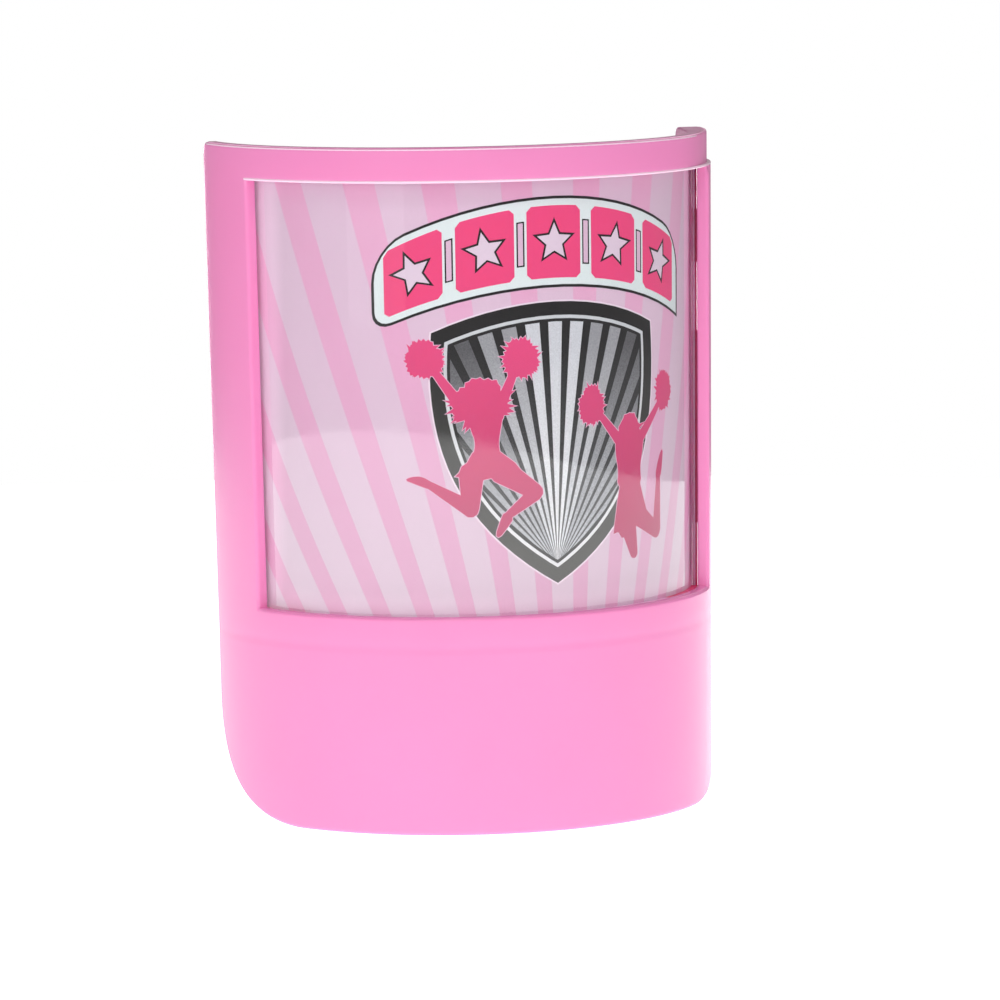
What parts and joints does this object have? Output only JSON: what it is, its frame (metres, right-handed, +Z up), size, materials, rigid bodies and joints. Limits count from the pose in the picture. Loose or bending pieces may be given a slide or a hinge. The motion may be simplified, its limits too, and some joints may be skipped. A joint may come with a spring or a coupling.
{
  "type": "plug-in night light",
  "caption": "Plug-in night light with a curved pink shade that frames a printed picture behind a clear pane, a lamp on a white base and a swivelling plug.",
  "frame": {"origin": "centre of the plug on the wall face, where the base's flat back meets the wall plate", "axes": "+Y into the wall along the plug blades, +Z up, the shade faces -Y"},
  "size_m": [0.0784, 0.0622, 0.102],
  "materials": {
    "pink_plastic": "glossy moulded pink, slightly translucent",
    "clear_lens": "clear polished acrylic sheet",
    "printed_film": "printed polyester film, satin",
    "white_plastic": "satin moulded white",
    "dark_plastic": "matte black thermoset",
    "lamp_glass": "clear blown glass",
    "brass": "plain stamped brass",
    "nickel": "nickel-plated brass, rolled",
    "steel": "zinc-plated steel"
  },
  "bodies": {
    "base": {"base_rear_housing": "white_plastic", "base_front_housing": "white_plastic", "swivel_washer": "steel", "swivel_retainer": "white_plastic", "lamp_socket": "dark_plastic", "socket_shell": "brass", "centre_contact": "brass", "lamp_cap": "nickel", "lamp_insulator": "dark_plastic", "lamp_button": "steel", "lamp_glass": "lamp_glass", "lamp_stem": "lamp_glass", "lamp_filament": "steel", "filament_post_left": "steel", "filament_post_right": "steel", "switch_body": "dark_plastic", "line_strap": "brass", "neutral_strap": "brass", "contact_leaf_left": "brass", "contact_leaf_right": "brass", "retainer_screw_left": "steel", "retainer_screw_right": "steel", "housing_screw_1": "steel", "housing_screw_2": "steel"},
    "shade": {"shade_frame": "pink_plastic", "window_lens": "clear_lens", "picture_insert": "printed_film", "shade_bracket": "pink_plastic", "insert_retainer_left": "pink_plastic", "insert_retainer_right": "pink_plastic"},
    "plug": {"plug_puck": "white_plastic", "plug_blade_left": "nickel", "plug_blade_right": "nickel"},
    "rocker": {"switch_rocker": "white_plastic"}
  },
  "joints": [
    {"name": "shade_lift", "type": "slide", "parent": "base", "child": "shade", "axis": [0, 0, 1], "range_m": [0, 0.022]},
    {"name": "plug_swivel", "type": "hinge", "parent": "base", "child": "plug", "pos_m": [0, 0, 0], "axis": [0, 1, 0], "range_deg": [0, 90]},
    {"name": "switch_rock", "type": "hinge", "parent": "base", "child": "rocker", "pos_m": [0.0208, -0.0215, 0], "axis": [0, 1, 0], "range_deg": [0, 18]}
  ]
}
